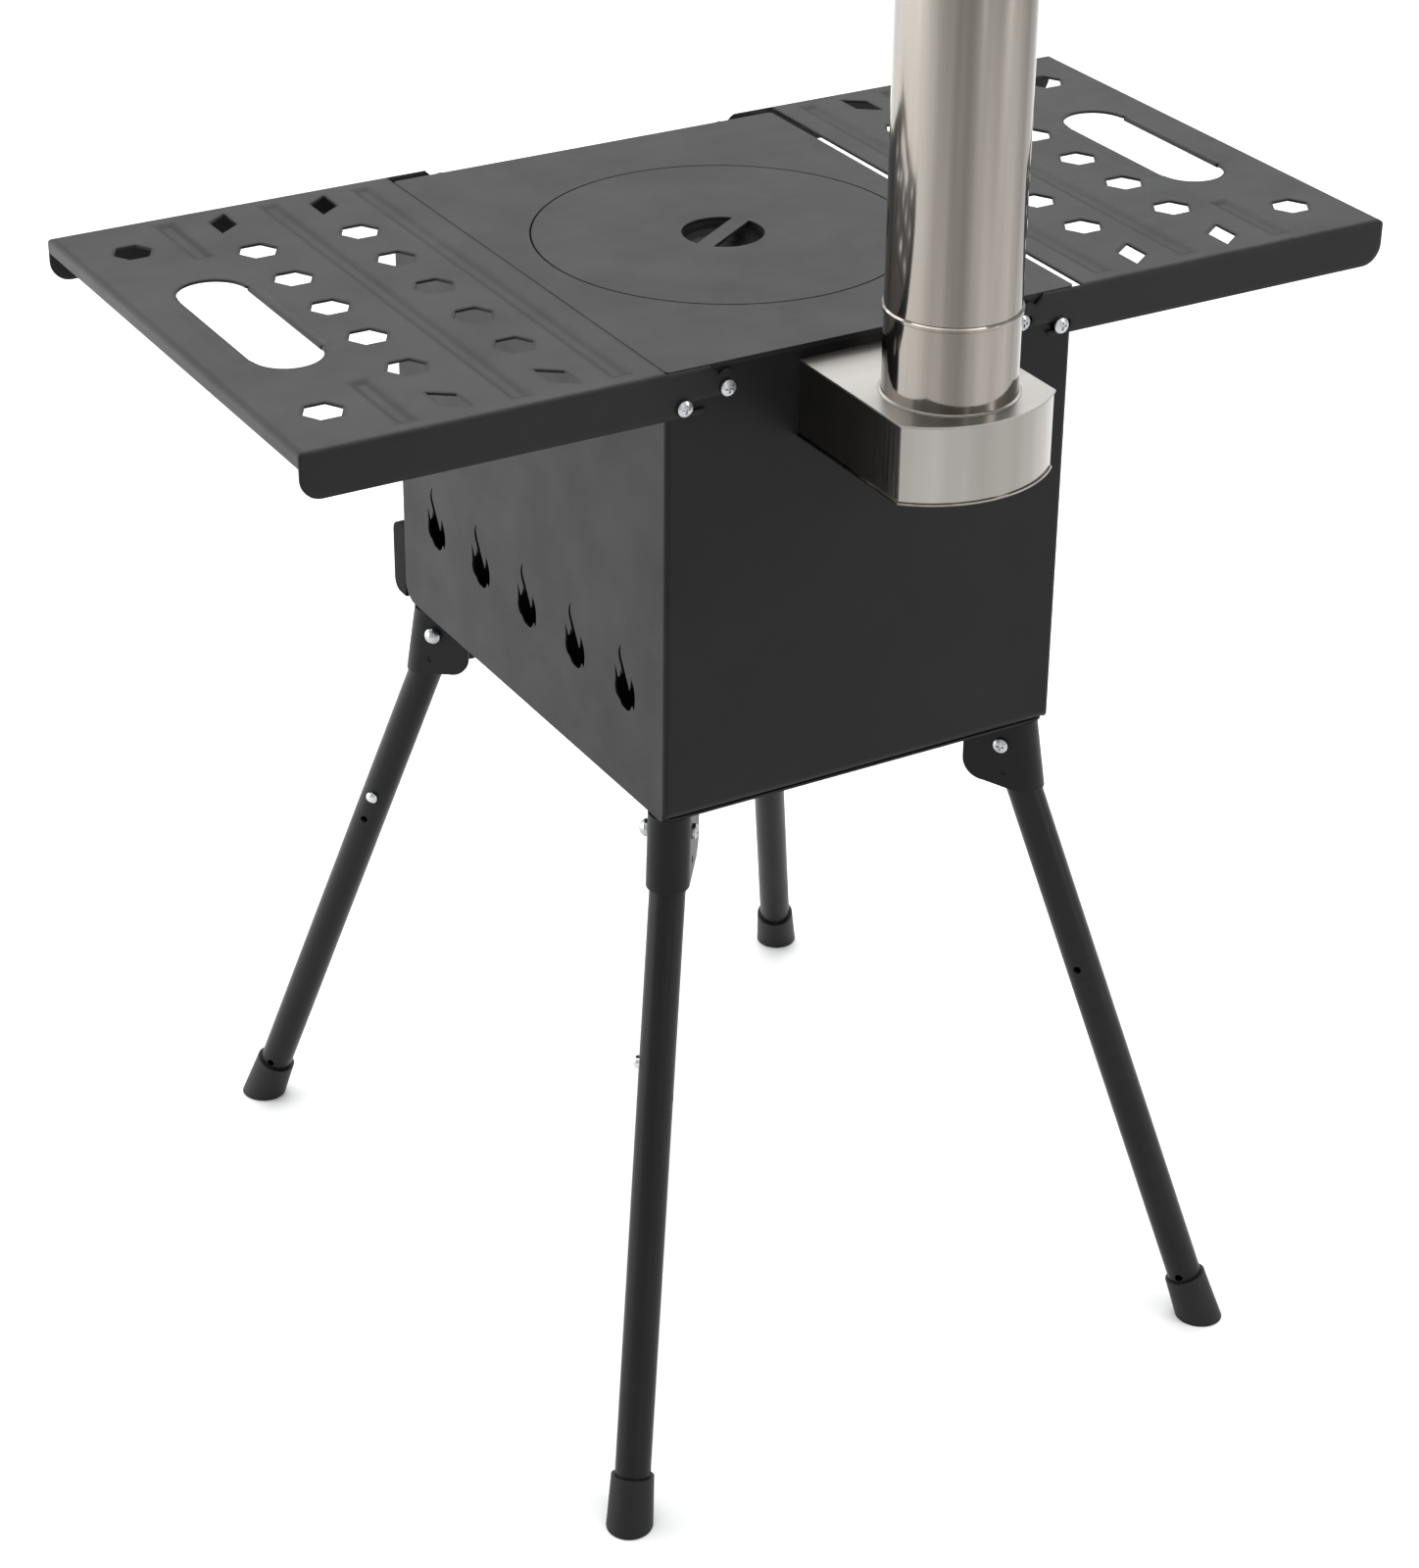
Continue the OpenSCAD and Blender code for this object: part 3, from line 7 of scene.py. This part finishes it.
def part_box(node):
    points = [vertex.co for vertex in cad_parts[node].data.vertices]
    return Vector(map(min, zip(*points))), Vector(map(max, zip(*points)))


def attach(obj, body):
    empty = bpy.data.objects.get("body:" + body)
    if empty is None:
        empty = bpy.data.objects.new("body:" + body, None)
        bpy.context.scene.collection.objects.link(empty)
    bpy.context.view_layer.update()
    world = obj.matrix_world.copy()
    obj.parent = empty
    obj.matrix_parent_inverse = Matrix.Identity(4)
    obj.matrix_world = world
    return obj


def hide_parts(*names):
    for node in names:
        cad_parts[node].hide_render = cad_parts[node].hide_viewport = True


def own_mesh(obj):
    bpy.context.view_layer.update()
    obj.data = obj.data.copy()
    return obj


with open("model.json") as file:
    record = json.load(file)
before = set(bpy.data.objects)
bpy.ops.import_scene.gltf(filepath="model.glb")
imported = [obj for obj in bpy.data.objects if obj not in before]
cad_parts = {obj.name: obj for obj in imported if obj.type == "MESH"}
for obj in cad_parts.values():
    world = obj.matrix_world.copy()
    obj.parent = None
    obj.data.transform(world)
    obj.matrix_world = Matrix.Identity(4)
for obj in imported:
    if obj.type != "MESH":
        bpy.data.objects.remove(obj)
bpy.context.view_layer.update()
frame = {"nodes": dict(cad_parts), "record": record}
nodes = frame["nodes"]


# ---------------------------------------------------------------- material helpers

# Sockets of the colour mix node
MIX_FACTOR, MIX_A, MIX_B, MIX_RESULT = 0, 6, 7, 2
# The part of a noise that is spread over a whole range
NOISE_LOW, NOISE_HIGH = 0.3, 0.7


def new_material(name):
    mat = bpy.data.materials.new(name)
    mat.use_nodes = True
    tree = mat.node_tree
    shader = tree.nodes["Principled BSDF"]
    return mat, tree, shader


def add(tree, kind, **values):
    node = tree.nodes.new(kind)
    for key, value in values.items():
        setattr(node, key, value)
    return node


def object_place(tree):
    return add(tree, "ShaderNodeTexCoord").outputs["Object"]


def noise(tree, source, scale, detail=2.0, rough=0.5, stretch=(1, 1, 1)):
    mapping = add(tree, "ShaderNodeMapping")
    mapping.inputs["Scale"].default_value = stretch
    tree.links.new(source, mapping.inputs["Vector"])
    tex = add(tree, "ShaderNodeTexNoise")
    tex.inputs["Scale"].default_value = scale
    tex.inputs["Detail"].default_value = detail
    tex.inputs["Roughness"].default_value = rough
    tree.links.new(mapping.outputs["Vector"], tex.inputs["Vector"])
    return tex.outputs["Fac"]


def spread(tree, source, low, high, near=NOISE_LOW, far=NOISE_HIGH):
    node = add(tree, "ShaderNodeMapRange")
    node.inputs["From Min"].default_value = near
    node.inputs["From Max"].default_value = far
    node.inputs["To Min"].default_value = low
    node.inputs["To Max"].default_value = high
    tree.links.new(source, node.inputs["Value"])
    return node.outputs["Result"]


def mix_colours(tree, factor, one, two):
    """Mix of a colour or socket with a colour."""
    node = add(tree, "ShaderNodeMix", data_type="RGBA")
    if isinstance(one, tuple):
        node.inputs[MIX_A].default_value = (*one, 1)
    node.inputs[MIX_B].default_value = (*two, 1)
    tree.links.new(factor, node.inputs[MIX_FACTOR])
    if not isinstance(one, tuple):
        tree.links.new(one, node.inputs[MIX_A])
    return node.outputs[MIX_RESULT]


def soft_edge(tree, radius):
    bevel = add(tree, "ShaderNodeBevel", samples=4)
    bevel.inputs["Radius"].default_value = radius
    return bevel.outputs["Normal"]


def edge_mask(tree, rounded, bent=0.86, flat=0.995):
    """1 where the rounded normal leaves the flat one, 0 on open faces."""
    geometry = add(tree, "ShaderNodeNewGeometry")
    dot = add(tree, "ShaderNodeVectorMath", operation="DOT_PRODUCT")
    tree.links.new(rounded, dot.inputs[0])
    tree.links.new(geometry.outputs["Normal"], dot.inputs[1])
    return spread(tree, dot.outputs["Value"], 1.0, 0.0, bent, flat)


def bumped(tree, shader, height, depth, normal):
    bump = add(tree, "ShaderNodeBump")
    bump.inputs["Strength"].default_value = 1.0
    bump.inputs["Distance"].default_value = depth
    tree.links.new(height, bump.inputs["Height"])
    tree.links.new(normal, bump.inputs["Normal"])
    tree.links.new(bump.outputs["Normal"], shader.inputs["Normal"])


def powder_coat(name, dark, light, edge_wear_and_painted_light, rough, level, edge=0.0007, peel=0.00006):
    """Powder coat: orange peel, cloudy colour, and an edge colour that is rubbed wear on most
    coats, painted shade along the edges of the deck and leg coats and a painted highlight on the
    pressed coat.
    """
    mat, tree, shader = new_material(name)
    place = object_place(tree)
    rounded = soft_edge(tree, edge)
    mask = edge_mask(tree, rounded)
    clouds = noise(tree, place, scale=9, detail=4)
    base = mix_colours(tree, spread(tree, clouds, 0, 1), dark, light)
    # Patchy edge colour: rubbed wear on most coats, painted shade on the deck and leg coats, a
    # painted highlight on the pressed coat
    edge_patches = noise(tree, place, scale=60, detail=5, rough=0.7)
    both = add(tree, "ShaderNodeMath", operation="MULTIPLY")
    tree.links.new(mask, both.inputs[0])
    tree.links.new(spread(tree, edge_patches, 0.25, 0.9, near=0.35, far=0.65), both.inputs[1])
    tree.links.new(mix_colours(tree, both.outputs[0], base, edge_wear_and_painted_light), shader.inputs["Base Color"])
    smudge = noise(tree, place, scale=22, detail=3, rough=0.6)
    tree.links.new(spread(tree, smudge, rough - 0.05, rough + 0.06), shader.inputs["Roughness"])
    grain = noise(tree, place, scale=1500)
    bumped(tree, shader, grain, peel, rounded)
    shader.inputs["Specular IOR Level"].default_value = level
    return mat


def sheet_metal(name, dark, light, rough, scale, stretch=(1, 1, 1), scratch=0.00001,
                edge=0.0004, blur=0.07, clouds=14, rim=None):
    """Bare or plated metal: fine drawn grain and clouds along one direction,
    which are faint tone on most metals and painted reflection streaks on the stainless,
    and a dark seam along the edges where rim is given."""
    mat, tree, shader = new_material(name)
    place = object_place(tree)
    rounded = soft_edge(tree, edge)
    tone_and_reflection_streaks = noise(tree, place, clouds, detail=3, stretch=stretch)
    colour = mix_colours(tree, spread(tree, tone_and_reflection_streaks, 0, 1), dark, light)
    if rim is not None:
        colour = mix_colours(tree, edge_mask(tree, rounded), colour, rim)
    tree.links.new(colour, shader.inputs["Base Color"])
    shader.inputs["Metallic"].default_value = 1.0
    grain = noise(tree, place, scale, detail=3, rough=0.6, stretch=stretch)
    tree.links.new(spread(tree, grain, rough - blur / 2, rough + blur), shader.inputs["Roughness"])
    bumped(tree, shader, grain, scratch, rounded)
    return mat


# ---------------------------------------------------------------- materials

UPRIGHT_GRAIN = (1, 1, 0.02)
CROSS_GRAIN = (0.03, 1, 1)

black = powder_coat(
    "black_coat", dark=(0.0050, 0.0050, 0.0054), light=(0.0075, 0.0075, 0.0082),
    edge_wear_and_painted_light=(0.028, 0.028, 0.030), rough=0.40, level=0.14,
)
# Deck coat: its edge colour is darker than the coat, painted shade along the sheet edges, most of
# all in the gap round the lid
deck = powder_coat(
    "deck_coat", dark=(0.010, 0.010, 0.0105), light=(0.013, 0.013, 0.014),
    edge_wear_and_painted_light=(0.002, 0.002, 0.002), rough=0.42, level=0.155, edge=0.0010,
)
# Pressed shelf coat: the lighter colour on the broad rounded edges is a painted highlight along the
# rib ridges and sheet edges
pressed = powder_coat(
    "pressed_coat", dark=(0.0075, 0.0075, 0.0080), light=(0.0105, 0.0105, 0.0113),
    edge_wear_and_painted_light=(0.019, 0.019, 0.020), rough=0.38, level=0.155, edge=0.0045,
)
# Leg coat: its edge colour is darker than the coat, painted shade along the tube edges and in the
# break of the leg
leg = powder_coat(
    "leg_coat", dark=(0.0055, 0.0055, 0.0060), light=(0.0080, 0.0080, 0.0088),
    edge_wear_and_painted_light=(0.0015, 0.0015, 0.0015), rough=0.36, level=0.17, edge=0.0009,
)
plastic = powder_coat(
    "foot_plastic", dark=(0.007, 0.007, 0.0074), light=(0.010, 0.010, 0.011),
    edge_wear_and_painted_light=(0.016, 0.016, 0.016), rough=0.5, level=0.2, edge=0.0008, peel=0.00004,
)
raw = powder_coat(
    "raw_steel", dark=(0.006, 0.0058, 0.0056), light=(0.013, 0.012, 0.011),
    edge_wear_and_painted_light=(0.03, 0.026, 0.023), rough=0.7, level=0.12, edge=0.0006, peel=0.0001,
)
# A darker, less glossy coat for the ash drawer front: painted shade that darkens the side-lit front
drawer_shade_coat = powder_coat(
    "drawer_painted_shade", dark=(0.003, 0.003, 0.0032), light=(0.005, 0.005, 0.0055),
    edge_wear_and_painted_light=(0.016, 0.016, 0.017), rough=0.6, level=0.06, edge=0.0006,
)
# Near-black, dull coat for the lid ledge: painted shade, so that the gap round the lid reads dark
lid_ledge_shade = powder_coat(
    "lid_ledge_shade", dark=(0.002, 0.002, 0.002), light=(0.004, 0.0038, 0.0036),
    edge_wear_and_painted_light=(0.006, 0.006, 0.006), rough=0.85, level=0.03, edge=0.0005, peel=0.0001,
)
zinc = sheet_metal(
    "zinc", dark=(0.36, 0.37, 0.38), light=(0.50, 0.51, 0.52),
    rough=0.27, scale=700, scratch=0.00002,
)
# Stainless: the wide dark-to-light range of its upright streaks is painted reflection, standing in
# for the dark and bright bands mirrored in the flue pipe
stainless = sheet_metal(
    "stainless", dark=(0.105, 0.092, 0.080), light=(0.31, 0.284, 0.254),
    rough=0.09, scale=420, stretch=UPRIGHT_GRAIN, scratch=0.000004, blur=0.06, clouds=42,
)
seamed = sheet_metal(
    "seamed_stainless", dark=(0.22, 0.204, 0.184), light=(0.34, 0.322, 0.300),
    rough=0.14, scale=420, stretch=UPRIGHT_GRAIN, scratch=0.000004,
    edge=0.0009, blur=0.06, clouds=25, rim=(0.012, 0.012, 0.012),
)
brushed = sheet_metal(
    "brushed_stainless", dark=(0.25, 0.239, 0.224), light=(0.32, 0.308, 0.292),
    rough=0.33, scale=700, stretch=CROSS_GRAIN, scratch=0.0000015, blur=0.06, clouds=30,
)
chrome = sheet_metal(
    "bright_chrome", dark=(0.45, 0.456, 0.468), light=(0.58, 0.587, 0.60),
    rough=0.07, scale=200, scratch=0.000002, blur=0.02,
)
spring = sheet_metal(
    "spring_steel", dark=(0.25, 0.25, 0.26), light=(0.36, 0.36, 0.37),
    rough=0.28, scale=500,
)

by_slot = {
    "black_coat": black, "deck_coat": deck, "leg_coat": leg,
    "foot_plastic": plastic, "raw_steel": raw, "zinc": zinc,
    "stainless": stainless, "bright_chrome": chrome, "spring_steel": spring,
}
by_node = {
    # the lid ledge gets the near-black coat, painted shade seen through the lid gap
    "lid_ledge": lid_ledge_shade, "flue_box_top": brushed, "flue_box_shell": seamed, "pivot_nuts": zinc,
    # the ash drawer front gets the darker coat, painted shade
    "shelf_left": pressed, "shelf_right": pressed, "ash_drawer_front": drawer_shade_coat,
}
slots = {part["node"]: part["material_slot"] for part in frame["record"]["subparts"]}

for name, obj in nodes.items():
    mat = by_node.get(name) or by_slot[slots[name]]
    if not obj.material_slots:
        obj.data.materials.append(mat)
    for place in obj.material_slots:
        place.material = mat


# ---------------------------------------------------------------- pieces

def lathe(name, profile, centre, body, mat, steps=128):
    """A closed profile of (radius, height) points turned round an upright axis."""
    mesh = bpy.data.meshes.new(name)
    verts, faces, count = [], [], len(profile)
    for i in range(steps):
        turn = math.tau * i / steps
        for radius, height in profile:
            x = centre[0] + radius * math.cos(turn)
            y = centre[1] + radius * math.sin(turn)
            verts.append((x, y, height))
    for i in range(steps):
        for j in range(count):
            a, b = i * count, (i + 1) % steps * count
            k = (j + 1) % count
            faces.append((a + j, b + j, b + k, a + k))
    mesh.from_pydata(verts, [], faces)
    mesh.polygons.foreach_set("use_smooth", [True] * len(faces))
    obj = bpy.data.objects.new(name, mesh)
    bpy.context.collection.objects.link(obj)
    obj.data.materials.append(mat)
    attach(obj, body)


# The rolled flare at the collar's foot: a foot ring that curves up into the collar's wall
FLARE_IN = 0.0381
FLARE_OUT = 0.0397
FLARE_LIFT = 0.00003
FLARE_LIP = 0.0003
FLARE_REACH = 0.0016
FLARE_RISE = 0.0006
FLARE_STEPS = 8

low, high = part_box("flue_collar")
collar = ((low[0] + high[0]) / 2, (low[1] + high[1]) / 2)
foot_z = low[2]
flare = [(FLARE_IN, foot_z + FLARE_LIFT), (FLARE_OUT, foot_z + FLARE_LIFT)]
for i in range(FLARE_STEPS + 1):
    turn = math.pi / 2 * i / FLARE_STEPS
    flare.append((
        FLARE_OUT - FLARE_REACH * math.sin(turn),
        foot_z + FLARE_LIP + FLARE_RISE * (1 - math.cos(turn)),
    ))
lathe("collar_flare", flare, collar, "firebox", brushed)


def bending_spring(corner):
    name = "button_spring_" + corner
    mesh = nodes[name].data.copy()
    obj = bpy.data.objects.new("bending_spring_" + corner, mesh)
    bpy.context.collection.objects.link(obj)
    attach(obj, "leg_" + corner)
    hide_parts(name)
    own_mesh(obj)


for corner in ("back_right", "front_right", "back_left", "front_left"):
    bending_spring(corner)


# ---------------------------------------------------------------- floor

FLOOR_SIZE = 40
FLOOR_DROP = 0.0006
FLOOR_COLOUR = (0.86, 0.86, 0.86)
FLOOR_DARK = tuple(part * 0.985 for part in FLOOR_COLOUR)


def floor_material():
    mat, tree, shader = new_material("studio_floor")
    clouds = noise(tree, object_place(tree), scale=3)
    tree.links.new(mix_colours(tree, clouds, FLOOR_DARK, FLOOR_COLOUR), shader.inputs["Base Color"])
    shader.inputs["Roughness"].default_value = 0.9
    shader.inputs["Specular IOR Level"].default_value = 0.2
    return mat


bpy.ops.mesh.primitive_plane_add(size=FLOOR_SIZE)
floor = bpy.context.object
floor.name = "studio_floor"
floor.location.z = -FLOOR_DROP
floor.data.materials.append(floor_material())


# ---------------------------------------------------------------- camera

AZIMUTH, ELEVATION, ROLL = 2.6120, 0.5102, 0.0112
TARGET = Vector((-0.0306908, -0.0611718, 0.2883659))
DISTANCE = 2.5125308
LENS = 86.1426
SENSOR = 36
CLIP_NEAR, CLIP_FAR = 0.05, 60

back = Vector((
    math.sin(AZIMUTH) * math.cos(ELEVATION),
    -math.cos(AZIMUTH) * math.cos(ELEVATION),
    math.sin(ELEVATION),
))
level_right = Vector((0, 0, 1)).cross(back).normalized()
level_up = back.cross(level_right)
right = math.cos(ROLL) * level_right + math.sin(ROLL) * level_up
up = math.cos(ROLL) * level_up - math.sin(ROLL) * level_right

cam_data = bpy.data.cameras.new("camera")
cam_data.sensor_fit = "VERTICAL"
cam_data.sensor_width = SENSOR
cam_data.sensor_height = SENSOR
cam_data.lens = LENS
cam_data.clip_start = CLIP_NEAR
cam_data.clip_end = CLIP_FAR
cam = bpy.data.objects.new("camera", cam_data)
bpy.context.collection.objects.link(cam)
facing = Matrix((right, up, back)).transposed().to_4x4()
cam.matrix_world = Matrix.Translation(TARGET + back * DISTANCE) @ facing
bpy.context.scene.camera = cam


# ---------------------------------------------------------------- light

away = Vector((-back.x, -back.y, 0)).normalized()
side = Vector((right.x, right.y, 0)).normalized()
middle = Vector((0, 0, 0.6))


def soft_box(name, at, width, height, power, to=middle):
    data = bpy.data.lights.new(name, "AREA")
    data.energy = power
    data.shape = "RECTANGLE"
    data.size = width
    data.size_y = height
    obj = bpy.data.objects.new(name, data)
    bpy.context.collection.objects.link(obj)
    obj.location = at
    obj.rotation_mode = "QUATERNION"
    obj.rotation_quaternion = (Vector(to) - Vector(at)).to_track_quat("-Z", "Y")


def studio_point(away_by, side_by, rise):
    """A place given from the middle: away from the camera, to its right, and up."""
    return middle + away * away_by + side * side_by + Vector((0, 0, rise))


soft_box("light_far", studio_point(2.5, 0, 2.9), width=4.6, height=2.0, power=84)
soft_box("light_horizon", studio_point(4.2, 0, 2.45), width=5.0, height=1.5, power=24)
soft_box("light_top", studio_point(0, 0, 3.2), width=3.0, height=3.0, power=80)
soft_box("light_left", (2.6, -1.9, 0.9), width=4.2, height=2.6, power=116, to=(0.1, 0, 0.5))
soft_box("light_right", studio_point(-1.2, 3.0, 0.9), width=0.45, height=2.6, power=26)
soft_box("light_strip", studio_point(-3.0, 1.5, 0.6), width=0.16, height=2.4, power=5)

SKY_COLOUR = (0.93, 0.94, 0.95, 1)
SKY_STRENGTH = 0.85

world = bpy.data.worlds.new("studio")
bpy.context.scene.world = world
world.use_nodes = True
sky = world.node_tree.nodes["Background"]
sky.inputs["Color"].default_value = SKY_COLOUR
sky.inputs["Strength"].default_value = SKY_STRENGTH

bpy.context.scene.view_settings.view_transform = "Standard"
